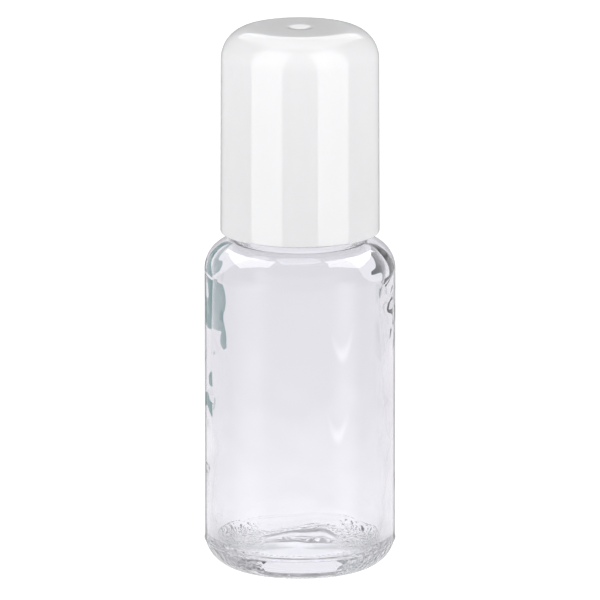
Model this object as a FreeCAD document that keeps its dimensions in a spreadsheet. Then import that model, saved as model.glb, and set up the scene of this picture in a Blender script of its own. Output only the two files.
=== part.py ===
import FreeCAD, Part
import math
import os
import Sketcher

# A roll-on bottle for 50 ml: a clear glass bottle with a wide neck, a moulded ball housing
# plugged into that neck, a hollow roller ball snapped into the housing, and a tall glossy cap.
# The origin is the centre of the base, +Z is up along the bottle's axis, and lengths are mm.

os.makedirs("parts", exist_ok=True)
doc = FreeCAD.newDocument("roll_on_bottle")

# The driving sizes: name, value, and what the value is.
DRIVING_SIZES = [
    ("body_radius", 19.25, "outside radius of the glass body"),
    ("body_wall", 2.0, "glass thickness of the side wall"),
    ("base_thickness", 4.4, "height of the inner floor above the table"),
    ("heel_radius", 6.4, "round between the base and the side wall"),
    ("inner_heel_radius", 2.2, "round between the inner floor and the inner wall"),
    ("foot_width", 1.25, "width of the flat ring that stands on the table"),
    ("push_up_depth", 1.6, "depth of the hollow under the base"),
    ("shoulder_height", 66.6, "height where the side wall would meet the shoulder slope"),
    ("shoulder_slope", 6.5, "degrees that the shoulder rises towards the neck"),
    ("shoulder_round_share", 0.9756, "round of the shoulder as a share of the shoulder's width"),
    ("inner_shoulder_round_share", 0.983, "round inside the shoulder as a share of the width there"),
    ("shoulder_wall", 1.5, "glass thickness of the shoulder, measured upright"),
    ("neck_step", 0.4, "how much larger the neck's outside radius is than the ball's"),
    ("neck_wall", 1.75, "glass thickness of the neck"),
    ("neck_root_share", 0.13, "round at the neck's root as a share of the shoulder's width"),
    ("inner_neck_root_share", 0.08, "round at its root inside as a share of the width there"),
    ("neck_height", 14.6, "height of the neck above the shoulder"),
    ("bead_section_radius", 0.9, "radius of the round bead under the thread"),
    ("bead_height", 3.7, "height of the bead above the shoulder"),
    ("finish_outer_round", 0.8, "round on the outer edge of the neck's mouth"),
    ("finish_inner_round", 0.4, "round on the inner edge of the neck's mouth"),
    ("ball_radius", 12.7, "radius of the one-inch roller ball"),
    ("ball_wall", 1.8, "wall of the hollow ball"),
    ("ball_rise", 7.7, "height of the ball's centre above the neck's mouth"),
    ("ball_clearance", 0.1, "gap between the ball and its socket"),
    ("lip_rise", 4.6, "height of the socket's lip above the ball's centre"),
    ("lip_width", 0.95, "width of the flat top of the lip"),
    ("collar_round", 3.0, "round of the housing's outline beside the ball's equator"),
    ("lip_round", 0.5, "round on the outer edge of the lip"),
    ("socket_wall", 0.75, "wall of the housing beside the ball's equator"),
    ("waist_overhang", 0.1, "how far the housing stands out over the neck above its flange"),
    ("flange_inset", 0.2, "how far the flange's seat stops short of the neck's outside"),
    ("flange_bevel", 0.5, "bevel on the lower edge of the flange"),
    ("flange_thickness", 1.4, "height of the flange's rim"),
    ("plug_clearance", 0.2, "gap between the plug and the neck's bore"),
    ("plug_length", 9.0, "depth that the plug reaches into the neck"),
    ("plug_wall", 1.0, "wall of the plug"),
    ("plug_lead_in", 0.6, "chamfer on the lower edge of the plug"),
    ("fin_clearance", 0.02, "gap between a sealing fin's edge and the bore"),
    ("fin_half_height", 0.45, "half the height of a sealing fin"),
    ("fin_spacing", 2.6, "distance from one sealing fin to the next"),
    ("cup_wall", 1.0, "wall of the socket under the ball"),
    ("feed_hole_radius", 5.5, "radius of the hole under the ball"),
    ("feed_slot_width", 1.6, "width of a feed slot in the seat"),
    ("feed_slot_margin", 1.55, "distance from the end of a feed slot to the plug's inner wall"),
    ("feed_slot_count", 6, "number of feed slots"),
    ("cap_headroom", 6.75, "height between the ball and the cap's ceiling"),
    ("cap_gap", 1.6, "height of the cap's lower edge above the shoulder's top"),
    ("thread_room", 1.5, "room for the screw thread between the neck and the cap's wall"),
    ("cap_draft", 0.15, "how much smaller the cap's radius is at its top"),
    ("cap_corner_radius", 6.4, "round between the cap's side and its top"),
    ("cap_rim_round", 0.35, "round on the outside of the cap's lower edge"),
    ("cap_mouth_chamfer", 0.35, "chamfer on the inside of the cap's lower edge"),
    ("cap_wall", 1.45, "wall of the cap's side"),
    ("cap_top_wall", 1.7, "wall of the cap's top"),
    ("cap_inner_corner_radius", 4.8, "round between the inner wall and the inner top"),
    ("ring_inner_radius", 6.0, "inside radius of the ring that holds the ball down"),
    ("ring_wall", 1.0, "wall of that ring"),
    ("ring_clearance", 0.75, "gap between the ring's tip and the ball"),
    ("dimple_radius", 2.35, "radius of the dimple in the middle of the cap's top"),
    ("dimple_depth", 0.5, "depth of that dimple"),
    ("cut_overrun", 2.0, "how far a cutting shape runs past the face that it opens"),
]

sizes = doc.addObject("Spreadsheet::Sheet", "sizes")
for row, (alias, value, meaning) in enumerate(DRIVING_SIZES, start=1):
    sizes.set(f"A{row}", meaning)
    sizes.set(f"B{row}", str(value))
    sizes.setAlias(f"B{row}", alias)
doc.recompute()

# Radii that pieces share where one fits in or over another. The ball comes first, then the neck
# that carries it, then the cap that goes over both.
SOCKET_RADIUS = "(sizes.ball_radius + sizes.ball_clearance)"
HOUSING_RADIUS = f"({SOCKET_RADIUS} + sizes.socket_wall)"
NECK_RADIUS = "(sizes.ball_radius + sizes.neck_step)"
NECK_BORE_RADIUS = f"({NECK_RADIUS} - sizes.neck_wall)"
PLUG_RADIUS = f"({NECK_BORE_RADIUS} - sizes.plug_clearance)"
PLUG_INNER_RADIUS = f"({PLUG_RADIUS} - sizes.plug_wall)"
FIN_RADIUS = f"({NECK_BORE_RADIUS} - sizes.fin_clearance)"
FLANGE_RADIUS = f"({NECK_RADIUS} - sizes.flange_inset)"
CAP_MOUTH_RADIUS = f"({NECK_RADIUS} + sizes.thread_room)"
CAP_RADIUS = f"({CAP_MOUTH_RADIUS} + sizes.cap_wall)"
RING_OUTER_RADIUS = "(sizes.ring_inner_radius + sizes.ring_wall)"
INNER_RADIUS = "(sizes.body_radius - sizes.body_wall)"

# The shoulder's rounds follow its width, outside and inside.
SHOULDER_WIDTH = f"(sizes.body_radius - {NECK_RADIUS})"
SHOULDER_RISE = f"({SHOULDER_WIDTH} * tan(sizes.shoulder_slope))"
SHOULDER_ROUND = f"({SHOULDER_WIDTH} * sizes.shoulder_round_share)"
NECK_ROOT_ROUND = f"({SHOULDER_WIDTH} * sizes.neck_root_share)"
INNER_SHOULDER_WIDTH = f"({INNER_RADIUS} - {NECK_BORE_RADIUS})"
INNER_SHOULDER_ROUND = f"({INNER_SHOULDER_WIDTH} * sizes.inner_shoulder_round_share)"
INNER_NECK_ROOT_ROUND = f"({INNER_SHOULDER_WIDTH} * sizes.inner_neck_root_share)"
PUSH_UP_RADIUS = "(sizes.body_radius - sizes.heel_radius - sizes.foot_width)"

# Heights above the table that several pieces share, each worked out from the driving sizes.
SHOULDER_TOP = f"(sizes.shoulder_height + {SHOULDER_RISE})"
MOUTH = f"({SHOULDER_TOP} + sizes.neck_height)"
BALL_CENTRE = f"({MOUTH} + sizes.ball_rise)"
CAP_BOTTOM = f"({SHOULDER_TOP} + sizes.cap_gap)"
CAP_CEILING = f"({BALL_CENTRE} + sizes.ball_radius + sizes.cap_headroom)"
CAP_TOP = f"({CAP_CEILING} + sizes.cap_top_wall)"

ZERO = "0"
FULL_TURN = 360
SAME_PLACE = 1e-4


def amount(expression):
    """The number that an expression of sheet sizes comes to."""
    value = sizes.evalExpression(expression)
    return float(getattr(value, "Value", value))


def new_body(label):
    body = doc.addObject("PartDesign::Body", label)
    body.Label = label
    return body


def lay_on_plane(body, item, plane_role):
    """Attaches a sketch or a primitive to one of the body's own origin planes."""
    plane = next(feature for feature in body.Origin.OriginFeatures if feature.Role == plane_role)
    item.AttachmentSupport = [(plane, "")]
    item.MapMode = "FlatFace"


def new_sketch(body, name, plane_role="XZ_Plane"):
    """A sketch on one of the body's planes; on XZ its x is the radius and its y is the height."""
    sketch = body.newObject("Sketcher::SketchObject", name)
    lay_on_plane(body, sketch, plane_role)
    return sketch


def place_point(sketch, geometry, end, x=None, y=None):
    """Holds one end of a line or arc at the expressions given, measured from the sketch's origin."""
    for kind, axis, expression in (("DistanceX", -2, x), ("DistanceY", -1, y)):
        if expression is None:
            continue
        if expression == ZERO:
            sketch.addConstraint(Sketcher.Constraint("PointOnObject", geometry, end, axis))
        else:
            held = sketch.addConstraint(
                Sketcher.Constraint(kind, -1, 1, geometry, end, amount(expression))
            )
            sketch.setExpression(f"Constraints[{held}]", expression)


def draw_outline(sketch, corners):
    """A closed outline through corners, each the expressions x and y and, where it is round, a radius."""
    spots = [FreeCAD.Vector(amount(corner[0]), amount(corner[1]), 0) for corner in corners]
    lines = []
    for index, spot in enumerate(spots):
        following = spots[(index + 1) % len(spots)]
        lines.append(sketch.addGeometry(Part.LineSegment(spot, following)))
    for index, (x, y, *radius) in enumerate(corners):
        before = lines[index - 1]
        after = lines[index]
        if radius:
            round_corner(sketch, before, after, x, y, radius[0])
        else:
            sketch.addConstraint(Sketcher.Constraint("Coincident", before, 2, after, 1))
            place_point(sketch, after, 1, x, y)


def round_corner(sketch, before, after, x, y, radius):
    """Joins two lines by an arc that touches both; the corner that it rounds stays as a held point."""
    corner = sketch.getPoint(after, 1)
    back = (sketch.getPoint(before, 1) - corner).normalize()
    onward = (sketch.getPoint(after, 2) - corner).normalize()
    half_angle = back.getAngle(onward) / 2
    reach = amount(radius) / math.tan(half_angle)
    inward = (back + onward).normalize()
    middle = corner + inward * (amount(radius) / math.sin(half_angle) - amount(radius))
    start = corner + back * reach
    arc = sketch.addGeometry(Part.Arc(start, middle, corner + onward * reach))
    runs_forward = sketch.getPoint(arc, 1).isEqual(start, SAME_PLACE)
    arc_start, arc_end = (1, 2) if runs_forward else (2, 1)
    held_corner = sketch.addGeometry(Part.Point(corner), True)
    for line in (before, after):
        sketch.addConstraint(Sketcher.Constraint("PointOnObject", held_corner, 1, line))
    place_point(sketch, held_corner, 1, x, y)
    sketch.addConstraint(Sketcher.Constraint("Tangent", before, 2, arc, arc_start))
    sketch.addConstraint(Sketcher.Constraint("Tangent", after, 1, arc, arc_end))
    hold_radius(sketch, arc, radius)


def hold_radius(sketch, curve, radius):
    held = sketch.addConstraint(Sketcher.Constraint("Radius", curve, amount(radius)))
    sketch.setExpression(f"Constraints[{held}]", radius)


def turn(body, kind, name, sketch):
    """Turns a sketch a full circle round the axis, adding with Revolution or cutting with Groove."""
    feature = body.newObject(f"PartDesign::{kind}", name)
    feature.Profile = sketch
    feature.ReferenceAxis = (sketch, ["V_Axis"])
    feature.Angle = FULL_TURN
    sketch.Visibility = False
    doc.recompute()
    return feature


def turned_outline(body, kind, name, corners):
    sketch = new_sketch(body, name + "_outline")
    draw_outline(sketch, corners)
    doc.recompute()
    return turn(body, kind, name, sketch)


def circle_edges(feature, places):
    """The names of a feature's circular edges that lie at the given radii and heights."""
    wanted = [(amount(radius), amount(height)) for radius, height in places]
    names = []
    for index, edge in enumerate(feature.Shape.Edges, start=1):
        if edge.Degenerated or not isinstance(edge.Curve, Part.Circle):
            continue
        circle = edge.Curve
        for radius, height in wanted:
            if (
                abs(circle.Radius - radius) < SAME_PLACE
                and abs(circle.Center.z - height) < SAME_PLACE
            ):
                names.append(f"Edge{index}")
    return names


def round_edges(body, name, radius, places):
    """Fillets the circular edges at the given radii and heights."""
    feature = body.newObject("PartDesign::Fillet", name)
    base = feature.BaseFeature
    feature.Base = (base, circle_edges(base, places))
    feature.Radius = amount(radius)
    feature.setExpression("Radius", radius)
    doc.recompute()
    return feature


def chamfer_edges(body, name, width, places):
    feature = body.newObject("PartDesign::Chamfer", name)
    base = feature.BaseFeature
    feature.Base = (base, circle_edges(base, places))
    feature.Size = amount(width)
    feature.setExpression("Size", width)
    doc.recompute()
    return feature


def cut_sphere(body, name, radius, height):
    """Cuts a sphere whose centre is on the axis at the given height."""
    feature = body.newObject("PartDesign::SubtractiveSphere", name)
    feature.setExpression("Radius", radius)
    feature.setExpression("AttachmentOffset.Base.z", height)
    lay_on_plane(body, feature, "XY_Plane")
    doc.recompute()
    return feature


def make_glass_bottle():
    """The bottle: a turned outside and inside, a hollow base and a wide neck with its bead."""
    body = new_body("glass_bottle")
    turned_outline(body, "Revolution", "outside", [
        (ZERO, ZERO),
        ("sizes.body_radius", ZERO),
        ("sizes.body_radius", "sizes.shoulder_height"),
        (NECK_RADIUS, SHOULDER_TOP),
        (NECK_RADIUS, MOUTH),
        (ZERO, MOUTH),
    ])
    shoulder_corner = ("sizes.body_radius", "sizes.shoulder_height")
    round_edges(body, "heel", "sizes.heel_radius", [("sizes.body_radius", ZERO)])
    round_edges(body, "shoulder", SHOULDER_ROUND, [shoulder_corner])
    round_edges(body, "neck_root", NECK_ROOT_ROUND, [(NECK_RADIUS, SHOULDER_TOP)])

    bead = body.newObject("PartDesign::AdditiveTorus", "bead")
    bead.setExpression("Radius1", NECK_RADIUS)
    bead.setExpression("Radius2", "sizes.bead_section_radius")
    bead.setExpression("AttachmentOffset.Base.z", f"{SHOULDER_TOP} + sizes.bead_height")
    lay_on_plane(body, bead, "XY_Plane")
    doc.recompute()

    inner_shoulder = "(sizes.shoulder_height - sizes.shoulder_wall)"
    inner_neck_root = f"({SHOULDER_TOP} - sizes.shoulder_wall)"
    turned_outline(body, "Groove", "inside", [
        (ZERO, "sizes.base_thickness"),
        (INNER_RADIUS, "sizes.base_thickness"),
        (INNER_RADIUS, inner_shoulder),
        (NECK_BORE_RADIUS, inner_neck_root),
        (NECK_BORE_RADIUS, f"{MOUTH} + sizes.cut_overrun"),
        (ZERO, f"{MOUTH} + sizes.cut_overrun"),
    ])
    inner_heel = (INNER_RADIUS, "sizes.base_thickness")
    round_edges(body, "inner_heel", "sizes.inner_heel_radius", [inner_heel])
    round_edges(body, "inner_shoulder", INNER_SHOULDER_ROUND, [(INNER_RADIUS, inner_shoulder)])
    round_edges(body, "inner_neck_root", INNER_NECK_ROOT_ROUND, [(NECK_BORE_RADIUS, inner_neck_root)])
    round_edges(body, "mouth_outer_edge", "sizes.finish_outer_round", [(NECK_RADIUS, MOUTH)])
    round_edges(body, "mouth_inner_edge", "sizes.finish_inner_round", [(NECK_BORE_RADIUS, MOUTH)])

    # The hollow base is a shallow cap of a large sphere, so only a flat ring stands on the table.
    sphere = f"(({PUSH_UP_RADIUS}^2 + sizes.push_up_depth^2) / (2 * sizes.push_up_depth))"
    cut_sphere(body, "push_up", sphere, f"sizes.push_up_depth - {sphere}")
    return body


def make_ball_housing():
    """The housing: a finned plug, a flange on the neck's mouth, and a socket whose lip keeps the ball."""
    body = new_body("ball_housing")
    plug_bottom = f"({MOUTH} - sizes.plug_length)"
    lip_top = f"({BALL_CENTRE} + sizes.lip_rise)"
    lip_inner_radius = f"sqrt({SOCKET_RADIUS}^2 - sizes.lip_rise^2)"
    lower_fin = f"({MOUTH} - sizes.plug_length / 2 - sizes.fin_spacing / 2)"
    upper_fin = f"({lower_fin} + sizes.fin_spacing)"

    def fin(height):
        return [
            (PLUG_RADIUS, f"{height} - sizes.fin_half_height"),
            (FIN_RADIUS, height),
            (PLUG_RADIUS, f"{height} + sizes.fin_half_height"),
        ]

    turned_outline(body, "Revolution", "outside", [
        (ZERO, plug_bottom),
        (f"{PLUG_RADIUS} - sizes.plug_lead_in", plug_bottom),
        (PLUG_RADIUS, f"{plug_bottom} + 2 * sizes.plug_lead_in"),
        *fin(lower_fin),
        *fin(upper_fin),
        (PLUG_RADIUS, MOUTH),
        (FLANGE_RADIUS, MOUTH),
        (f"{FLANGE_RADIUS} + sizes.flange_bevel", f"{MOUTH} + sizes.flange_bevel"),
        (f"{NECK_RADIUS} + sizes.waist_overhang", f"{MOUTH} + sizes.flange_thickness"),
        (HOUSING_RADIUS, f"{BALL_CENTRE} - sizes.lip_rise / 2", "sizes.collar_round"),
        (HOUSING_RADIUS, f"{BALL_CENTRE} + sizes.lip_rise / 4", "sizes.collar_round"),
        (f"{lip_inner_radius} + sizes.lip_width", lip_top),
        (ZERO, lip_top),
    ])

    # The room between the plug's wall and the socket's underside, closed by an arc round the ball.
    cup_radius = f"({SOCKET_RADIUS} + sizes.cup_wall)"
    cup_drop = f"sqrt({cup_radius}^2 - {PLUG_INNER_RADIUS}^2)"
    under = new_sketch(body, "under_cup_outline")
    below = f"{plug_bottom} - sizes.cut_overrun"
    wall_top = f"{BALL_CENTRE} - {cup_drop}"
    cup_bottom = f"{BALL_CENTRE} - {cup_radius}"
    corners = [
        (ZERO, cup_bottom),
        (ZERO, below),
        (PLUG_INNER_RADIUS, below),
        (PLUG_INNER_RADIUS, wall_top),
    ]
    spots = [FreeCAD.Vector(amount(x), amount(y), 0) for x, y in corners]
    for start, end in zip(spots[:-1], spots[1:]):
        under.addGeometry(Part.LineSegment(start, end))
    centre = FreeCAD.Vector(0, amount(BALL_CENTRE), 0)
    middle = spots[3] + spots[0] - centre * 2
    middle = centre + middle * (amount(cup_radius) / middle.Length)
    arc = under.addGeometry(Part.Arc(spots[0], middle, spots[3]))
    for line in range(2):
        under.addConstraint(Sketcher.Constraint("Coincident", line, 2, line + 1, 1))
    under.addConstraint(Sketcher.Constraint("Coincident", arc, 1, 0, 1))
    under.addConstraint(Sketcher.Constraint("Coincident", arc, 2, 2, 2))
    place_point(under, arc, 3, ZERO, BALL_CENTRE)
    for line, (x, y) in enumerate(corners[:3]):
        place_point(under, line, 1, x, y)
    place_point(under, 2, 2, x=PLUG_INNER_RADIUS)
    doc.recompute()
    turn(body, "Groove", "under_cup", under)

    cut_sphere(body, "socket", SOCKET_RADIUS, BALL_CENTRE)
    lip_edge = (f"{lip_inner_radius} + sizes.lip_width", lip_top)
    round_edges(body, "lip", "sizes.lip_round", [lip_edge])

    hole = new_sketch(body, "feed_hole_outline", "XY_Plane")
    circle = hole.addGeometry(Part.Circle())
    hole.addConstraint(Sketcher.Constraint("Coincident", circle, 3, -1, 1))
    hold_radius(hole, circle, "sizes.feed_hole_radius")
    doc.recompute()
    cut_up(body, "feed_hole", hole)

    slot_reach = f"({PLUG_INNER_RADIUS} - sizes.feed_slot_margin)"
    slot = new_sketch(body, "feed_slot_outline", "XY_Plane")
    draw_outline(slot, [
        (ZERO, "-sizes.feed_slot_width / 2"),
        (slot_reach, "-sizes.feed_slot_width / 2"),
        (slot_reach, "sizes.feed_slot_width / 2"),
        (ZERO, "sizes.feed_slot_width / 2"),
    ])
    doc.recompute()
    first_slot = cut_up(body, "feed_slot", slot)
    slots = body.newObject("PartDesign::PolarPattern", "feed_slots")
    slots.Originals = [first_slot]
    slots.Axis = (hole, ["N_Axis"])
    slots.Angle = FULL_TURN
    slots.setExpression("Occurrences", "sizes.feed_slot_count")
    body.Tip = slots
    doc.recompute()
    return body


def cut_up(body, name, sketch):
    """Cuts a sketch that lies on the table's plane straight up as far as the ball's centre."""
    feature = body.newObject("PartDesign::Pocket", name)
    feature.Profile = sketch
    feature.Reversed = True
    feature.setExpression("Length", BALL_CENTRE)
    before = feature.BaseFeature.Shape.Volume
    sketch.Visibility = False
    doc.recompute()
    if feature.Shape.Volume >= before:
        raise ValueError(f"{name} cut nothing")
    return feature


def make_roller_ball():
    """The hollow ball: a sphere with a smaller sphere taken out of it."""
    outside = doc.addObject("Part::Sphere", "ball_outside")
    outside.setExpression("Radius", "sizes.ball_radius")
    inside = doc.addObject("Part::Sphere", "ball_inside")
    inside.setExpression("Radius", "sizes.ball_radius - sizes.ball_wall")
    for sphere in (outside, inside):
        sphere.setExpression("Placement.Base.z", BALL_CENTRE)
    ball = doc.addObject("Part::Cut", "roller_ball")
    ball.Label = "roller_ball"
    ball.Base = outside
    ball.Tool = inside
    doc.recompute()
    return ball


def make_cap():
    """The cap: a drafted shell with a round top corner, a dimple and a ring that holds the ball down."""
    body = new_body("cap")
    top_radius = f"({CAP_RADIUS} - sizes.cap_draft)"
    turned_outline(body, "Revolution", "outside", [
        (ZERO, CAP_BOTTOM),
        (CAP_RADIUS, CAP_BOTTOM),
        (top_radius, CAP_TOP),
        (ZERO, CAP_TOP),
    ])
    round_edges(body, "top_corner", "sizes.cap_corner_radius", [(top_radius, CAP_TOP)])
    round_edges(body, "rim", "sizes.cap_rim_round", [(CAP_RADIUS, CAP_BOTTOM)])

    ceiling_radius = f"({top_radius} - sizes.cap_wall)"
    turned_outline(body, "Groove", "inside", [
        (ZERO, CAP_BOTTOM),
        (CAP_MOUTH_RADIUS, CAP_BOTTOM),
        (ceiling_radius, CAP_CEILING, "sizes.cap_inner_corner_radius"),
        (ZERO, CAP_CEILING),
    ])
    mouth_edge = (CAP_MOUTH_RADIUS, CAP_BOTTOM)
    chamfer_edges(body, "mouth_chamfer", "sizes.cap_mouth_chamfer", [mouth_edge])

    turned_outline(body, "Revolution", "hold_down_ring", [
        ("sizes.ring_inner_radius", BALL_CENTRE),
        (RING_OUTER_RADIUS, BALL_CENTRE),
        (RING_OUTER_RADIUS, f"{CAP_CEILING} + sizes.cap_top_wall / 2"),
        ("sizes.ring_inner_radius", f"{CAP_CEILING} + sizes.cap_top_wall / 2"),
    ])
    cut_sphere(body, "ring_tip", "sizes.ball_radius + sizes.ring_clearance", BALL_CENTRE)

    sphere = "((sizes.dimple_radius^2 + sizes.dimple_depth^2) / (2 * sizes.dimple_depth))"
    cut_sphere(body, "dimple", sphere, f"{CAP_TOP} - sizes.dimple_depth + {sphere}")
    return body


def check_object(item):
    for state in ("Invalid", "Error"):
        if state in item.State:
            raise ValueError(f"{item.Label} is {state}")


def write_part(item):
    shape = item.Shape
    if shape.isNull() or not shape.isValid() or not shape.Solids:
        raise ValueError(f"{item.Label} has no valid solid")
    shape.exportStep(f"parts/{item.Label}.step")
    print(f"{item.Label}: {len(shape.Solids)} solid, {shape.Volume:.1f} mm3")


pieces = [make_glass_bottle(), make_ball_housing(), make_roller_ball(), make_cap()]
doc.recompute()
for item in doc.Objects:
    check_object(item)
for piece in pieces:
    write_part(piece)
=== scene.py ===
import bpy
import math
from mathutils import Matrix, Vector


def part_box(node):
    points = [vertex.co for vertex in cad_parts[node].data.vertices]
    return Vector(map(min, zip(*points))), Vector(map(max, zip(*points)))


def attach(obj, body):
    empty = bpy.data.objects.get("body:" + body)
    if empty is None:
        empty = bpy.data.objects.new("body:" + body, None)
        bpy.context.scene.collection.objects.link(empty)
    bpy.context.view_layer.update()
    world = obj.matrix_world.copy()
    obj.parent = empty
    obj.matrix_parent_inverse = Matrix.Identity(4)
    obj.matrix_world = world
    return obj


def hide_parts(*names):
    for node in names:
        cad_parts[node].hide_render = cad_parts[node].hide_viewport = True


# A roll-on bottle: clear glass, a tall white cap, and under it the ball in its milky housing.
# Every piece is turned on the bottle's axis. Its sizes are millimetres times MM, so metres;
# the studio's are metres and degrees. Heights are measured from the table, and outlines are
# (radius, height) points.

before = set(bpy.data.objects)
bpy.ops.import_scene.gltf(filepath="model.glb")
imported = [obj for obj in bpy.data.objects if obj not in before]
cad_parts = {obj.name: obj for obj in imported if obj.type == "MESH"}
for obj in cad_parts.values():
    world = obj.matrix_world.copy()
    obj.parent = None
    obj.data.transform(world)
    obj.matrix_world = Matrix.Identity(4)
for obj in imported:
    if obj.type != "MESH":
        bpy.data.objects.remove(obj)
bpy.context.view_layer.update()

MM = 0.001
SEGMENTS = 192
SHARP = math.radians(38)
MERGE = 0.004 * MM

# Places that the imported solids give.
glass_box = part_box("glass_bottle")
ball_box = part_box("roller_ball")
cap_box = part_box("cap")
BODY_RADIUS = glass_box[1].x
MOUTH = glass_box[1].z
BALL_RADIUS = (ball_box[1].z - ball_box[0].z) / 2
BALL_CENTRE = (ball_box[1].z + ball_box[0].z) / 2
CAP_BOTTOM = cap_box[0].z
CAP_TOP = cap_box[1].z
CAP_RADIUS = cap_box[1].x

# The glass.
BODY_WALL = 2.0 * MM
INNER_FLOOR = 4.4 * MM
HEEL_ROUND = 6.4 * MM
INNER_HEEL_ROUND = 2.2 * MM
PUSH_UP_RADIUS = 11.6 * MM
PUSH_UP_DEPTH = 1.6 * MM
SHOULDER = 66.6 * MM
SHOULDER_RISE = 0.7007 * MM
SHOULDER_TOP = SHOULDER + SHOULDER_RISE
SHOULDER_ROUND = 6.0 * MM
INNER_SHOULDER_ROUND = 5.7997 * MM
SHOULDER_WALL = 1.5 * MM
NECK_RADIUS = 13.1 * MM
NECK_BORE = 11.35 * MM
NECK_ROOT_ROUND = 0.8 * MM
INNER_ROOT_ROUND = 0.472 * MM
BEAD_RISE = 3.7 * MM
BEAD_SECTION = 0.9 * MM
MOUTH_OUTER_ROUND = 0.8 * MM
MOUTH_INNER_ROUND = 0.4 * MM
INNER_RADIUS = BODY_RADIUS - BODY_WALL
INNER_TOP = SHOULDER_TOP - SHOULDER_WALL
# The angle on the heel's round from which its steps are fine enough for the seam.
HEEL_FINE_FROM = -22

# What moulding leaves on the glass: waves inside, ribs and pits below, a seam on the heel.
WALL_WAVE_SIZE = 9 * MM
WALL_WAVE_DEPTH = 0.5 * MM
WALL_WAVES_BELOW_NECK = 0.5 * MM
WALL_WAVES_FADE = 1.5 * MM
WALL_WAVES_START = 2 * MM
WALL_WAVES_FULL = 9 * MM
OUTER_SHOULDER_FROM = 14.5 * MM
FLOOR_WAVE_SIZE = 5 * MM
FLOOR_WAVE_DEPTH = 0.25 * MM
FLOOR_WAVE_BAND = 1.0 * MM
FLOOR_WAVES_FULL = 13 * MM
FLOOR_WAVES_OVERLAP = 0.6 * MM
RIB_RISE = 0.16 * MM
RIB_OUTER_RADIUS = 13.2 * MM
COLUMNS_PER_RIB = 3
SEAM_RISE = 0.2 * MM
SEAM_HEIGHT = 5.4 * MM
SEAM_HALF_WIDTH = 0.45 * MM
PIT_SIZE = 1.2 * MM
PIT_DEPTH = 0.7 * MM
RING_PITS_TOP = 1.1 * MM
RING_PITS_FULL = 0.6 * MM
RING_PITS_EDGE = 0.8 * MM
HEEL_PITS_START = 7 * MM
HEEL_PITS_FULL = 10 * MM

# How near a place has to be to a face to count as on it.
ON_FACE = 0.05 * MM
NEAR_FACE = 0.1 * MM
NEAR_SHOULDER = 0.4 * MM
PAST_INNER_WALL = 0.5 * MM

# The screw thread that the neck and the cap share.
PITCH = 3.6 * MM
THREAD_TURNS = 1.5
THREAD_END_FADE = 0.12
THREAD_FLANK = 0.75
THREAD_HALF_WIDTH = 0.95 * MM
THREAD_STEP = 0.16 * MM
NECK_THREAD_START = MOUTH - 8.6 * MM
NECK_THREAD_DEPTH = 1.05 * MM
CAP_THREAD_START = NECK_THREAD_START - PITCH / 2
CAP_THREAD_TOP = NECK_THREAD_START + PITCH * (THREAD_TURNS + 1)
CAP_THREAD_DEPTH = 0.8 * MM
CAP_THREAD_HALF_WIDTH = THREAD_HALF_WIDTH * 0.8

# The cap.
CAP_DRAFT = 0.15 * MM
CAP_DRAFT_SHARE_AT_THREAD = 0.3
CAP_WALL = 1.45 * MM
CAP_MOUTH = CAP_RADIUS - CAP_WALL
CAP_MOUTH_SLACK = 0.02 * MM
CAP_TOP_WALL = 1.7 * MM
CAP_CORNER = 6.4 * MM
CAP_INNER_CORNER = 4.8 * MM
CAP_RIM_ROUND = 0.35 * MM
CAP_MOUTH_CHAMFER = 0.35 * MM
RING_INNER = 6.0 * MM
RING_WALL = 1.0 * MM
RING_CLEARANCE = 0.75 * MM
DIMPLE_RADIUS = 2.35 * MM
DIMPLE_DEPTH = 0.5 * MM

# The groove where the ball's halves are welded.
WELD_DEPTH = 0.12 * MM
WELD_HALF_ANGLE = 0.6

# Materials. A plastic has a colour, a roughness and the share of light that passes its wall.
IOR = 1.5
GLASS_TINT = (0.985, 0.99, 0.995)
GLASS_SHADOW_TINT = (0.93, 0.94, 0.945)
PLASTICS = {
    "cap_plastic": ((0.93, 0.93, 0.935), 0.015, 0.35),
    "ball_plastic": ((0.86, 0.86, 0.85), 0.08, 0.1),
    "housing_plastic": ((0.84, 0.84, 0.83), 0.25, 0.5),
}
GLOSSIEST = 0.8
DULLEST = 1.25
DARKEST = 0.985

# The camera.
BODY_AXIS_HEIGHT = 54.6 * MM
CAMERA_RISE = math.radians(13)
CAMERA_AWAY = 2.0
PICTURE_WIDTH = 121.07 * MM
SENSOR = 36.0
CLIP_END = 10

# The room and the table, as the lens, gloss, glass and spreading light see them.
WHITE = (1.0, 1.0, 1.0)
ROOM_MIRRORED = (0.9, 0.9, 0.9)
ROOM_THROUGH_GLASS = (0.88, 0.86, 0.92)
DARK_THROUGH_GLASS = (0.13, 0.14, 0.145)
ROOM_LIGHT = (0.25, 0.25, 0.25)
CEILING_STARTS = math.radians(35)
CEILING_FULL = math.radians(55)
SIDES_DARKEN = math.radians(18)
SIDES_DARK = math.radians(115)
FRONT_LIGHTENS = math.radians(95)
FRONT_LIGHT = math.radians(130)
FRONT_SHARE = 0.1
TABLE_RADIUS = 0.6
TABLE_COLOUR = (0.35, 0.35, 0.35)
TABLE_LIFT = (0.85, 0.85, 0.85)
TABLE_MIRRORED = (0.45, 0.45, 0.45)
# Seen through glass, the table glows with painted light near the bottle, where its shadow falls,
# and with painted shade further out. The last two distances below give where the one fades into
# the other.
TABLE_PAINTED_LIGHT_THROUGH_GLASS = (0.62, 0.6, 0.65)
FAR_TABLE_PAINTED_SHADE_THROUGH_GLASS = (0.49, 0.47, 0.52)
TABLE_LIGHT = (0.15, 0.15, 0.15)
PAINTED_LIGHT_REACH = 0.02
PAINTED_SHADE_FROM = 0.15

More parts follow.
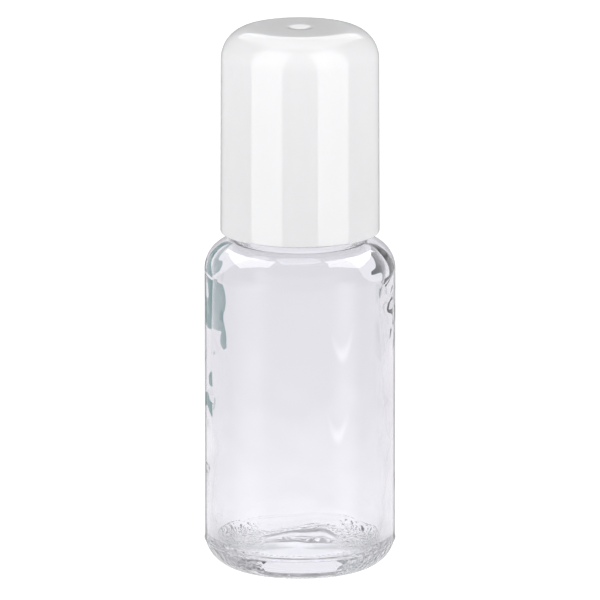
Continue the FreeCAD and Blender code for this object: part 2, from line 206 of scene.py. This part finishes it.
# Lamps on both sides: name, azimuth, elevation, elevation that the back faces, distance, width,
# height, radiance, and the pieces that mirror it; None lights everything and is mirrored by none.
PAIRED_BOXES = (
    ("side_box", 50, 30, 10, 0.87, 0.777, 1.76, 3.7, "plastics"),
    ("overhead_box", 118, 55, 55, 1.0, 0.95, 0.66, 4.5, "glass"),
    ("rear_box", 163, 43, 43, 1.0, 0.42, 0.5, 4.5, "glass"),
    ("key_box", 58, 18, 18, 0.9, 0.8, 1.1, 3.4, None),
    ("fill_box", 140, 20, 20, 0.9, 0.8, 0.9, 0.7, None),
)
BACK_TOP_BOX = ("back_top_box", 180, 62, 62, 0.9, 1.0, 1.3, 2.2, "plastics")

# Soft lamps that the glass alone mirrors: name, azimuth, height, width, how tall, radiance.
GLOW_AWAY = 0.9
GLOWS = (
    ("left_glow", -64, -0.15, 1.1, 0.8, 1.2),
    ("right_glow", 58, -0.15, 0.8, 0.8, 1.2),
    ("upper_glint", 52.4, -0.162, 0.62, 0.007, 2.6),
    ("lower_glint", 47.0, -0.186, 0.60, 0.007, 2.4),
)

# Upright cards behind the bottle: name, azimuth, distance, width, bottom, top, colour.
GREEN_GREY = (0.13, 0.24, 0.255)
CARDS_IN_GLOSS = (
    ("grey_behind", 180, 0.5, 1.4, 0.15, 0.31, (0.55, 0.55, 0.55)),
    ("dark_behind", 180, 0.5, 0.5, -0.15, 0.15, (0.3, 0.3, 0.3)),
)
CARDS_THROUGH_GLASS = (
    ("left_edge", -147.75, 0.19, 0.104, 0.0, 0.03, GREEN_GREY),
    ("left_top_edge", -147.75, 0.19, 0.104, 0.06, 0.09, GREEN_GREY),
    ("right_edge", 149, 0.285, 0.1, 0.0, 0.008, (0.03, 0.035, 0.04)),
    ("right_corner", 143, 0.19, 0.09, 0.03, 0.07, (0.1, 0.115, 0.12)),
    ("right_streak", 155, 0.19, 0.07, 0.063, 0.13, (0.02, 0.022, 0.025)),
)

# Enough bounces for light that is caught in the thick glass of the base.
CLEAR_BOUNCES = 64
DIFFUSE_BOUNCES = 5


def arc(centre, radius, start, end, steps):
    """Points on a round stretch of an outline; 0 degrees points outwards and 90 points up."""
    points = []
    for step in range(steps + 1):
        angle = math.radians(start + (end - start) * step / steps)
        across, up = radius * math.cos(angle), radius * math.sin(angle)
        points.append((centre[0] + across, centre[1] + up))
    return points


def run(start, end, longest):
    """Points along a straight stretch, its start left out, none further apart than longest."""
    across, up = end[0] - start[0], end[1] - start[1]
    count = max(1, math.ceil(math.dist(start, end) / longest))
    return [
        (start[0] + across * step / count, start[1] + up * step / count)
        for step in range(1, count + 1)
    ]


def turned(name, outline):
    """A solid turned on the axis, from an outline that starts and ends on it."""
    bpy.ops.object.select_all(action="DESELECT")
    bpy.ops.mesh.primitive_plane_add(size=MM, location=(0, 0, 0))
    piece = bpy.context.object
    piece.name = name
    piece.data.name = name
    bpy.ops.object.mode_set(mode="EDIT")
    bpy.ops.mesh.merge(type="CENTER")
    bpy.ops.transform.translate(value=(outline[0][0], 0, outline[0][1]))
    for here, there in zip(outline, outline[1:]):
        step = (there[0] - here[0], 0, there[1] - here[1])
        bpy.ops.mesh.extrude_region_move(TRANSFORM_OT_translate={"value": step})
    bpy.ops.mesh.select_all(action="SELECT")
    bpy.ops.mesh.spin(steps=SEGMENTS, angle=math.tau, center=(0, 0, 0), axis=(0, 0, 1))
    bpy.ops.mesh.select_all(action="SELECT")
    bpy.ops.mesh.remove_doubles(threshold=MERGE)
    bpy.ops.mesh.normals_make_consistent(inside=False)
    bpy.ops.object.mode_set(mode="OBJECT")
    bpy.ops.object.shade_smooth_by_angle(angle=SHARP)
    return piece


def push_out(piece, name, depth, weight_of, direction="NORMAL", texture=None):
    """Moves the surface by depth times a weight, which weight_of gives for each place."""
    group = piece.vertex_groups.new(name=name)
    for vertex in piece.data.vertices:
        weight = weight_of(vertex.co)
        if weight > 0:
            group.add([vertex.index], min(weight, 1.0), "REPLACE")
    modifier = piece.modifiers.new(name, "DISPLACE")
    modifier.vertex_group = name
    modifier.strength = depth
    modifier.mid_level = 0.0
    modifier.direction = direction
    if texture is not None:
        modifier.texture = texture
        modifier.texture_coords = "LOCAL"
        modifier.mid_level = 0.5
    bpy.context.view_layer.objects.active = piece
    bpy.ops.object.modifier_apply(modifier=modifier.name)


def clouds(name, size):
    texture = bpy.data.textures.new(name, "CLOUDS")
    texture.noise_scale = size
    texture.noise_depth = 1
    return texture


def radius_of(place):
    return math.hypot(place.x, place.y)


def smooth(low, high, value):
    """0 below low, 1 above high and a soft step between them."""
    share = min(max((value - low) / (high - low), 0.0), 1.0)
    return share * share * (3 - 2 * share)


def thread_weight(place, start, half_width):
    """How far a thread stands out at a place: 1 on its crest, fading at both of its ends."""
    turn = (math.atan2(place.y, place.x) / math.tau) % 1.0
    best = 0.0
    for lap in range(math.ceil(THREAD_TURNS) + 1):
        along = lap + turn
        if along > THREAD_TURNS:
            break
        crest = start + PITCH * along
        across = abs(place.z - crest) / half_width
        if across < 1:
            rising = smooth(0.0, THREAD_END_FADE, along)
            falling = smooth(0.0, THREAD_END_FADE, THREAD_TURNS - along)
            best = max(best, rising * falling * smooth(0.0, THREAD_FLANK, 1 - across))
    return best


def cap_of_sphere(radius, depth):
    """The radius of a shallow hollow's sphere, and the degrees from its axis to its rim."""
    sphere = (radius**2 + depth**2) / (2 * depth)
    return sphere, math.degrees(math.asin(radius / sphere))


def shoulder_round(wall_radius, neck_radius, height, size):
    """A shoulder's slope in degrees, and the centre of the round between it and the wall."""
    slope = math.degrees(math.atan2(SHOULDER_RISE, wall_radius - neck_radius))
    reach = size * math.tan(math.radians(90 - slope) / 2)
    return slope, (wall_radius - size, height - reach)


def root_round(neck_radius, slope, top, size):
    """The centre of the round between a neck and a shoulder whose slope ends at top."""
    bend = math.radians(slope)
    return neck_radius + size, top - size * math.tan(bend) + size / math.cos(bend)


def glass_outline():
    """The wall, from the hollow under the base, over the mouth and down to the inner floor."""
    sphere, rim_angle = cap_of_sphere(PUSH_UP_RADIUS, PUSH_UP_DEPTH)
    outline = arc((0, PUSH_UP_DEPTH - sphere), sphere, 90, 90 - rim_angle, steps=12)
    heel = (BODY_RADIUS - HEEL_ROUND, HEEL_ROUND)
    outline += run(outline[-1], (heel[0], 0), longest=0.3 * MM)
    outline += arc(heel, HEEL_ROUND, -90, HEEL_FINE_FROM, steps=16)[1:]
    outline += arc(heel, HEEL_ROUND, HEEL_FINE_FROM, 0, steps=20)[1:]

    slope, centre = shoulder_round(BODY_RADIUS, NECK_RADIUS, SHOULDER, SHOULDER_ROUND)
    outline += run(outline[-1], (BODY_RADIUS, centre[1]), longest=2 * MM)
    outline += arc(centre, SHOULDER_ROUND, 0, 90 - slope, steps=18)[1:]
    root = root_round(NECK_RADIUS, slope, SHOULDER_TOP, NECK_ROOT_ROUND)
    outline += arc(root, NECK_ROOT_ROUND, -90 - slope, -180, steps=6)
    bead = (NECK_RADIUS, SHOULDER_TOP + BEAD_RISE)
    outline += run(outline[-1], (NECK_RADIUS, bead[1] - BEAD_SECTION), longest=1 * MM)
    outline += arc(bead, BEAD_SECTION, -90, 90, steps=10)[1:]
    rim = (NECK_RADIUS - MOUTH_OUTER_ROUND, MOUTH - MOUTH_OUTER_ROUND)
    outline += run(outline[-1], (NECK_RADIUS, rim[1]), longest=THREAD_STEP)
    outline += arc(rim, MOUTH_OUTER_ROUND, 0, 90, steps=6)[1:]
    inner_rim = (NECK_BORE + MOUTH_INNER_ROUND, MOUTH - MOUTH_INNER_ROUND)
    outline += arc(inner_rim, MOUTH_INNER_ROUND, 90, 180, steps=4)

    slope, centre = shoulder_round(
        INNER_RADIUS, NECK_BORE, SHOULDER - SHOULDER_WALL, INNER_SHOULDER_ROUND
    )
    root = root_round(NECK_BORE, slope, INNER_TOP, INNER_ROOT_ROUND)
    outline += run(outline[-1], (NECK_BORE, root[1]), longest=1.5 * MM)
    outline += arc(root, INNER_ROOT_ROUND, 180, 270 - slope, steps=6)[1:]
    shoulder_points = arc(centre, INNER_SHOULDER_ROUND, 90 - slope, 0, steps=16)
    outline += run(outline[-1], shoulder_points[0], longest=0.8 * MM)
    outline += shoulder_points[1:]
    inner_heel = (INNER_RADIUS - INNER_HEEL_ROUND, INNER_FLOOR + INNER_HEEL_ROUND)
    outline += run(outline[-1], (INNER_RADIUS, inner_heel[1]), longest=1.2 * MM)
    outline += arc(inner_heel, INNER_HEEL_ROUND, 0, -90, steps=12)[1:]
    outline += run(outline[-1], (0, INNER_FLOOR), longest=0.6 * MM)
    return outline


def on_neck_thread(place):
    off_neck = abs(radius_of(place) - NECK_RADIUS) > ON_FACE
    if off_neck or place.z < SHOULDER + BEAD_RISE + 2 * BEAD_SECTION:
        return 0.0
    return thread_weight(place, NECK_THREAD_START, THREAD_HALF_WIDTH)


def outside_shoulder(place):
    """True on the outer face of the shoulder, which lies near its own round."""
    centre = shoulder_round(BODY_RADIUS, NECK_RADIUS, SHOULDER, SHOULDER_ROUND)[1]
    reach = math.dist((radius_of(place), place.z), centre)
    return abs(reach - SHOULDER_ROUND) < NEAR_SHOULDER


def on_inner_wall(place):
    """1 on the wall inside the body, fading towards the neck and the middle of the floor."""
    radius = radius_of(place)
    if place.z < INNER_FLOOR - NEAR_FACE or radius > INNER_RADIUS + NEAR_FACE:
        return 0.0
    if place.z > INNER_TOP - WALL_WAVES_BELOW_NECK:
        return 0.0
    at_shoulder = place.z > SHOULDER - SHOULDER_ROUND and radius > OUTER_SHOULDER_FROM
    if at_shoulder and outside_shoulder(place):
        return 0.0
    below_neck = smooth(0.0, WALL_WAVES_FADE, INNER_TOP - place.z)
    return below_neck * smooth(WALL_WAVES_START, WALL_WAVES_FULL, radius)


def on_inner_floor(place):
    """1 on the floor inside, fading towards its corner with the wall."""
    if not INNER_FLOOR - FLOOR_WAVE_BAND < place.z < INNER_FLOOR + FLOOR_WAVE_BAND:
        return 0.0
    corner = INNER_RADIUS - INNER_HEEL_ROUND + FLOOR_WAVES_OVERLAP
    return 1 - smooth(FLOOR_WAVES_FULL, corner, radius_of(place))


def on_bearing_ribs(place):
    """1 on each rib of the ring that the bottle stands on; the ribs point at the axis."""
    radius = radius_of(place)
    if place.z > ON_FACE or not PUSH_UP_RADIUS + NEAR_FACE < radius < RIB_OUTER_RADIUS:
        return 0.0
    column = round(math.atan2(place.y, place.x) / math.tau * SEGMENTS)
    return 1.0 if column % COLUMNS_PER_RIB == 0 else 0.0


def on_heel_seam(place):
    """1 on the fine ridge round the heel, where the mould's bottom plate meets its sides."""
    if radius_of(place) < INNER_RADIUS + PAST_INNER_WALL:
        return 0.0
    return smooth(0.0, 1.0, 1 - abs(place.z - SEAM_HEIGHT) / SEAM_HALF_WIDTH)


def cap_outline():
    """The wall: from the dimple over the corner, down, in at the mouth and up to the ceiling."""
    sphere, rim_angle = cap_of_sphere(DIMPLE_RADIUS, DIMPLE_DEPTH)
    centre = (0, CAP_TOP - DIMPLE_DEPTH + sphere)
    outline = arc(centre, sphere, -90, -90 + rim_angle, steps=10)
    corner = (CAP_RADIUS - CAP_DRAFT - CAP_CORNER, CAP_TOP - CAP_CORNER)
    outline += run(outline[-1], (corner[0], CAP_TOP), longest=1.0 * MM)
    outline += arc(corner, CAP_CORNER, 90, 0, steps=24)[1:]
    rim = (CAP_RADIUS - CAP_RIM_ROUND, CAP_BOTTOM + CAP_RIM_ROUND)
    outline += run(outline[-1], (CAP_RADIUS, rim[1]), longest=4 * MM)
    outline += arc(rim, CAP_RIM_ROUND, 0, -90, steps=8)[1:]
    outline.append((CAP_MOUTH + CAP_MOUTH_CHAMFER, CAP_BOTTOM))
    outline.append((CAP_MOUTH, CAP_BOTTOM + CAP_MOUTH_CHAMFER))

    thread_end = CAP_MOUTH - CAP_DRAFT * CAP_DRAFT_SHARE_AT_THREAD
    outline += run(outline[-1], (thread_end, CAP_THREAD_TOP), longest=THREAD_STEP)
    ceiling = CAP_TOP - CAP_TOP_WALL
    inner_corner = (CAP_MOUTH - CAP_DRAFT - CAP_INNER_CORNER, ceiling - CAP_INNER_CORNER)
    outline += run(outline[-1], (CAP_MOUTH - CAP_DRAFT, inner_corner[1]), longest=2 * MM)
    outline += arc(inner_corner, CAP_INNER_CORNER, 0, 90, steps=10)[1:]

    ring_outer = RING_INNER + RING_WALL
    tip_reach = BALL_RADIUS + RING_CLEARANCE
    outer_tip = BALL_CENTRE + math.sqrt(tip_reach**2 - ring_outer**2)
    inner_tip = BALL_CENTRE + math.sqrt(tip_reach**2 - RING_INNER**2)
    outline += [(ring_outer, ceiling), (ring_outer, outer_tip), (RING_INNER, inner_tip)]
    outline += [(RING_INNER, ceiling), (0, ceiling)]
    return outline


def on_cap_thread(place):
    if not CAP_MOUTH - CAP_DRAFT < radius_of(place) < CAP_MOUTH + CAP_MOUTH_SLACK:
        return 0.0
    return thread_weight(place, CAP_THREAD_START, CAP_THREAD_HALF_WIDTH)


def new_material(name):
    material = bpy.data.materials.new(name)
    material.use_nodes = True
    return material


def set_inputs(tree, node, inputs):
    """Gives a node's sockets another node's output, or a number, a vector or a colour."""
    for name, value in inputs.items():
        socket = node.inputs[name]
        if isinstance(value, bpy.types.NodeSocket):
            tree.links.new(value, socket)
        elif socket.type == "RGBA":
            socket.default_value = (*value, 1)
        else:
            socket.default_value = value


def add_node(tree, kind, inputs=None, **choices):
    """A new shader node with its choices, such as its operation, and its sockets set."""
    node = tree.nodes.new("ShaderNode" + kind)
    for name, choice in choices.items():
        setattr(node, name, choice)
    set_inputs(tree, node, inputs or {})
    return node


def calculated(tree, operation, *values):
    inputs = dict(enumerate(values))
    return add_node(tree, "Math", inputs, operation=operation).outputs["Value"]


def faded(tree, value, low, high, ends=(0, 1), kind="LINEAR"):
    """The first of the ends where the value is low, the second where it is high."""
    inputs = {
        "Value": value, "From Min": low, "From Max": high, "To Min": ends[0], "To Max": ends[1],
    }
    return add_node(tree, "MapRange", inputs, interpolation_type=kind).outputs["Result"]


def blended(tree, share, first, second):
    inputs = {"Fac": share, "Color1": first, "Color2": second}
    return add_node(tree, "MixRGB", inputs).outputs["Color"]


def show_mix(tree, share, first, second):
    """Gives the surface the first shader and, by its share, the second."""
    inputs = {0: share, 1: first.outputs["BSDF"], 2: second.outputs["BSDF"]}
    mix = add_node(tree, "MixShader", inputs)
    set_inputs(tree, tree.nodes["Material Output"], {"Surface": mix.outputs["Shader"]})


def surface_bump(tree, shader, scale, strength, distance):
    """A bump from noise on the piece's own coordinates; scale counts its features in a metre."""
    place = add_node(tree, "TexCoord").outputs["Object"]
    noise = add_node(tree, "TexNoise", {"Vector": place, "Scale": scale})
    bump = add_node(tree, "Bump", {
        "Strength": strength, "Distance": distance, "Height": noise.outputs["Fac"],
    })
    set_inputs(tree, shader, {"Normal": bump.outputs["Normal"]})
    return noise


def add_pits(tree, shader):
    """Pits on the ring that the bottle stands on, and on the heel to the left and the right."""
    place = add_node(tree, "TexCoord").outputs["Object"]
    apart = add_node(tree, "SeparateXYZ", {"Vector": place}).outputs
    flat = add_node(tree, "VectorMath", {0: place, 1: (1, 1, 0)}, operation="MULTIPLY")
    radius = add_node(tree, "VectorMath", {0: flat.outputs["Vector"]}, operation="LENGTH")
    low = faded(tree, apart["Z"], RING_PITS_TOP, RING_PITS_FULL)
    ring_edge = PUSH_UP_RADIUS + RING_PITS_EDGE
    far_out = faded(tree, radius.outputs["Value"], PUSH_UP_RADIUS, ring_edge)
    on_ring = calculated(tree, "MULTIPLY", low, far_out)
    aside = calculated(tree, "ABSOLUTE", apart["X"])
    at_sides = faded(tree, aside, HEEL_PITS_START, HEEL_PITS_FULL)
    below_seam = faded(tree, apart["Z"], HEEL_ROUND, HEEL_ROUND / 2)
    on_heel = calculated(tree, "MULTIPLY", at_sides, below_seam)
    pits = add_node(tree, "TexVoronoi", {"Vector": place, "Scale": 1 / PIT_SIZE})
    bump = add_node(tree, "Bump", {
        "Strength": calculated(tree, "MAXIMUM", on_ring, on_heel),
        "Distance": PIT_DEPTH,
        "Height": pits.outputs["Distance"],
        "Normal": shader.inputs["Normal"].links[0].from_socket,
    })
    set_inputs(tree, shader, {"Normal": bump.outputs["Normal"]})


def glass_material():
    """Clear glass with a faint tint in its depth; a lamp shines through it almost unhindered."""
    material = new_material("clear_glass")
    tree = material.node_tree
    shader = tree.nodes["Principled BSDF"]
    set_inputs(tree, shader, {
        "Base Color": GLASS_TINT, "Roughness": 0.0, "IOR": IOR, "Transmission Weight": 1.0,
    })
    ripple = surface_bump(tree, shader, scale=90, strength=0.04, distance=0.2 * MM)
    set_inputs(tree, ripple, {"Detail": 1.0})
    add_pits(tree, shader)
    clear = add_node(tree, "BsdfTransparent", {"Color": GLASS_SHADOW_TINT})
    path = add_node(tree, "LightPath").outputs
    show_mix(tree, path["Is Shadow Ray"], shader, clear)
    return material


def plastic_material(name):
    """Moulded plastic, faintly uneven in its gloss; a share of the light passes its wall."""
    colour, roughness, share_through = PLASTICS[name]
    material = new_material(name)
    tree = material.node_tree
    shader = tree.nodes["Principled BSDF"]
    through = add_node(tree, "BsdfTranslucent", {"Color": colour})
    show_mix(tree, share_through, shader, through)
    noise = surface_bump(tree, shader, scale=60, strength=0.02, distance=0.1 * MM).outputs["Fac"]
    ends = (roughness * GLOSSIEST, roughness * DULLEST)
    set_inputs(tree, shader, {
        "IOR": IOR,
        "Roughness": faded(tree, noise, 0.0, 1.0, ends),
        "Base Color": blended(tree, noise, [part * DARKEST for part in colour], colour),
    })
    return material


def make_glass():
    glass = turned("bottle_glass", glass_outline())
    push_out(glass, "neck_thread", NECK_THREAD_DEPTH, on_neck_thread)
    waves = clouds("inner_waves", WALL_WAVE_SIZE)
    push_out(glass, "inner_waves", WALL_WAVE_DEPTH, on_inner_wall, texture=waves)
    waves = clouds("floor_waves", FLOOR_WAVE_SIZE)
    push_out(glass, "floor_waves", FLOOR_WAVE_DEPTH, on_inner_floor, direction="Z", texture=waves)
    push_out(glass, "stipple", RIB_RISE, on_bearing_ribs, direction="Z")
    push_out(glass, "heel_seam", SEAM_RISE, on_heel_seam)
    glass.data.materials.append(glass_material())
    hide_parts("glass_bottle")
    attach(glass, "bottle")
    return glass


def make_cap():
    cap = turned("white_cap", cap_outline())
    push_out(cap, "cap_thread", CAP_THREAD_DEPTH, on_cap_thread)
    cap.data.materials.append(plastic_material("cap_plastic"))
    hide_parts("cap")
    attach(cap, "cap")
    return cap


def make_ball():
    """The ball's outside, with the faint groove where its two halves are welded."""
    centre = (0, BALL_CENTRE)
    outline = arc(centre, BALL_RADIUS, -90, -WELD_HALF_ANGLE, steps=48)
    outline.append((BALL_RADIUS - WELD_DEPTH, BALL_CENTRE))
    outline += arc(centre, BALL_RADIUS, WELD_HALF_ANGLE, 90, steps=48)
    ball = turned("rolling_ball", outline)
    ball.data.materials.append(plastic_material("ball_plastic"))
    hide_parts("roller_ball")
    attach(ball, "ball")
    return ball


def dress_housing():
    """The housing keeps its solid's shape and takes a milky satin plastic."""
    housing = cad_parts["ball_housing"]
    housing.data.materials.clear()
    housing.data.materials.append(plastic_material("housing_plastic"))
    return housing


def make_camera():
    """A long lens at the photograph's angle."""
    data = bpy.data.cameras.new("camera")
    data.sensor_width = SENSOR
    data.lens = SENSOR * CAMERA_AWAY / PICTURE_WIDTH
    data.clip_end = CLIP_END
    camera = bpy.data.objects.new("camera", data)
    bpy.context.collection.objects.link(camera)
    target = Vector((0, 0, BODY_AXIS_HEIGHT))
    back = Vector((0, -math.cos(CAMERA_RISE), math.sin(CAMERA_RISE)))
    camera.location = target + back * CAMERA_AWAY
    camera.rotation_euler = (-back).to_track_quat("-Z", "Y").to_euler()
    bpy.context.scene.camera = camera


def direction(azimuth, elevation):
    """A unit vector; azimuth 0 is towards the camera and grows to the picture's right."""
    a, e = math.radians(azimuth), math.radians(elevation)
    return Vector((math.sin(a) * math.cos(e), -math.cos(a) * math.cos(e), math.sin(e)))


def by_ray(tree, to_lens, to_gloss, to_glass, to_rest):
    """A colour for the lens, for gloss, for what glass shows, and for the light that spreads."""
    path = add_node(tree, "LightPath").outputs
    colour = blended(tree, path["Is Glossy Ray"], to_rest, to_gloss)
    colour = blended(tree, path["Is Transmission Ray"], colour, to_glass)
    return blended(tree, path["Is Camera Ray"], colour, to_lens)


def share_of_dark(tree, way):
    """0 where a direction leads behind the bottle, 1 to its sides and FRONT_SHARE before it."""
    unit = add_node(tree, "VectorMath", {0: way}, operation="NORMALIZE").outputs["Vector"]
    backwards = add_node(tree, "SeparateXYZ", {"Vector": unit}).outputs["Y"]
    side = faded(tree, backwards, math.cos(SIDES_DARKEN), math.cos(SIDES_DARK), kind="SMOOTHSTEP")
    front = faded(
        tree, backwards, math.cos(FRONT_LIGHTENS), math.cos(FRONT_LIGHT),
        ends=(1, FRONT_SHARE), kind="SMOOTHSTEP",
    )
    return calculated(tree, "MULTIPLY", side, front)


def make_world():
    """White for the lens, dim for the rest; glass shows a dark ceiling and dark sides."""
    world = bpy.data.worlds.new("studio")
    bpy.context.scene.world = world
    world.use_nodes = True
    tree = world.node_tree
    look = add_node(tree, "TexCoord").outputs["Generated"]
    height = add_node(tree, "SeparateXYZ", {"Vector": look}).outputs["Z"]
    ceiling = faded(
        tree, height, math.sin(CEILING_STARTS), math.sin(CEILING_FULL), kind="SMOOTHSTEP"
    )
    dark = calculated(tree, "MAXIMUM", ceiling, share_of_dark(tree, look))
    room = blended(tree, dark, ROOM_THROUGH_GLASS, DARK_THROUGH_GLASS)
    colour = by_ray(tree, WHITE, ROOM_MIRRORED, room, ROOM_LIGHT)
    set_inputs(tree, tree.nodes["Background"], {"Color": colour})


def make_floor():
    """A pale table top that keeps the shadow, lifted to white for the lens; through glass it has
    painted light near the bottle and painted shade further out.
    """
    bpy.ops.object.select_all(action="DESELECT")
    bpy.ops.mesh.primitive_circle_add(
        vertices=128, radius=TABLE_RADIUS, fill_type="NGON", location=(0, 0, 0)
    )
    floor = bpy.context.object
    floor.name = "table_top"
    material = new_material("table_top")
    tree = material.node_tree
    place = add_node(tree, "TexCoord").outputs["Object"]
    reach = add_node(tree, "VectorMath", {0: place}, operation="LENGTH").outputs["Value"]
    # Painted light and shade: the table's glow through glass is brighter near the bottle and
    # dimmer further out.
    painted_shade_share = faded(tree, reach, PAINTED_LIGHT_REACH, PAINTED_SHADE_FROM)
    painted_glow_through_glass = blended(tree, painted_shade_share, TABLE_PAINTED_LIGHT_THROUGH_GLASS, FAR_TABLE_PAINTED_SHADE_THROUGH_GLASS)
    painted_glow_through_glass = blended(tree, share_of_dark(tree, place), painted_glow_through_glass, DARK_THROUGH_GLASS)
    set_inputs(tree, tree.nodes["Principled BSDF"], {
        "Base Color": TABLE_COLOUR,
        "Roughness": 0.9,
        "Specular IOR Level": 0.0,
        "Emission Strength": 1.0,
        "Emission Color": by_ray(tree, TABLE_LIFT, TABLE_MIRRORED, painted_glow_through_glass, TABLE_LIGHT),
    })
    floor.data.materials.append(material)
    floor.visible_glossy = False


def soft_box(name, place, outwards, width, height, radiance, mirrored):
    """A rectangular lamp, its back turned outwards, either mirrored or lighting the rest."""
    data = bpy.data.lights.new(name, "AREA")
    data.shape = "RECTANGLE"
    data.size = width
    data.size_y = height
    data.energy = radiance * math.pi * width * height
    lamp = bpy.data.objects.new(name, data)
    bpy.context.collection.objects.link(lamp)
    lamp.location = Vector((0, 0, BODY_AXIS_HEIGHT)) + place
    lamp.rotation_euler = outwards.to_track_quat("Z", "Y").to_euler()
    lamp.visible_camera = False
    lamp.visible_glossy = mirrored
    lamp.visible_transmission = mirrored
    lamp.visible_diffuse = not mirrored
    return lamp


def keep_for(lamp, pieces):
    """Lets a lamp reach some pieces alone, as a small flag does in a studio."""
    reached = bpy.data.collections.new(lamp.name + "_reaches")
    for piece in pieces:
        reached.objects.link(piece)
    lamp.light_linking.receiver_collection = reached


def hang_box(row, side, mirrors):
    """One lamp of a table's row, on the left with side -1 and on the right with side 1."""
    name, azimuth, elevation, faced, away, width, height, radiance, mirrored_by = row
    place = direction(side * azimuth, elevation) * away
    outwards = direction(side * azimuth, faced)
    lamp = soft_box(name, place, outwards, width, height, radiance, mirrored_by is not None)
    if mirrored_by is not None:
        keep_for(lamp, mirrors[mirrored_by])
    if mirrored_by == "glass":
        lamp.visible_transmission = False


def soften_edges(lamp):
    """Fades a lamp's glow from its middle towards its edges."""
    lamp.data.use_nodes = True
    tree = lamp.data.node_tree
    place = add_node(tree, "NewGeometry").outputs["Parametric"]
    centred = add_node(
        tree, "VectorMath", {0: place, 1: (2, 2, 0), 2: (-1, -1, 0)}, operation="MULTIPLY_ADD"
    )
    reach = add_node(tree, "VectorMath", {0: centred.outputs["Vector"]}, operation="LENGTH")
    strength = faded(tree, reach.outputs["Value"], 1.0, 0.0, kind="SMOOTHSTEP")
    set_inputs(tree, tree.nodes["Emission"], {"Strength": strength})


def hang_glow(row, glass):
    """A soft upright lamp that the glass alone mirrors."""
    name, azimuth, height, width, tall, radiance = row
    outwards = direction(azimuth, 0)
    place = outwards * GLOW_AWAY + Vector((0, 0, height - BODY_AXIS_HEIGHT))
    lamp = soft_box(name, place, outwards, width, tall, radiance, mirrored=True)
    soften_edges(lamp)
    keep_for(lamp, (glass,))


def stand_card(row, through_glass):
    """An upright card, like an edge of the set, seen either through glass or in gloss."""
    name, azimuth, away, width, bottom, top, colour = row
    bpy.ops.object.select_all(action="DESELECT")
    bpy.ops.mesh.primitive_plane_add(size=1, location=(0, 0, 0))
    panel = bpy.context.object
    panel.name = name
    outwards = direction(azimuth, 0)
    panel.scale = (width, top - bottom, 1)
    panel.location = outwards * away + Vector((0, 0, (top + bottom) / 2))
    panel.rotation_euler = outwards.to_track_quat("Z", "Y").to_euler()
    material = new_material(name)
    tree = material.node_tree
    shine = add_node(tree, "Emission", {"Color": colour}).outputs["Emission"]
    set_inputs(tree, tree.nodes["Material Output"], {"Surface": shine})
    panel.data.materials.append(material)
    panel.visible_camera = False
    panel.visible_diffuse = False
    panel.visible_shadow = False
    panel.visible_transmission = through_glass
    panel.visible_glossy = not through_glass


def make_studio(glass, plastics):
    make_world()
    make_floor()
    mirrors = {"glass": (glass,), "plastics": plastics}
    for side in (-1, 1):
        for row in PAIRED_BOXES:
            hang_box(row, side, mirrors)
    hang_box(BACK_TOP_BOX, 1, mirrors)
    for row in CARDS_IN_GLOSS:
        stand_card(row, through_glass=False)
    for row in GLOWS:
        hang_glow(row, glass)
    for row in CARDS_THROUGH_GLASS:
        stand_card(row, through_glass=True)


bpy.context.scene.view_settings.view_transform = "Standard"
bpy.context.scene.cycles.max_bounces = CLEAR_BOUNCES
bpy.context.scene.cycles.transmission_bounces = CLEAR_BOUNCES
bpy.context.scene.cycles.glossy_bounces = CLEAR_BOUNCES
bpy.context.scene.cycles.diffuse_bounces = DIFFUSE_BOUNCES
make_camera()
glass = make_glass()
plastics = (make_cap(), make_ball(), dress_housing())
make_studio(glass, plastics)
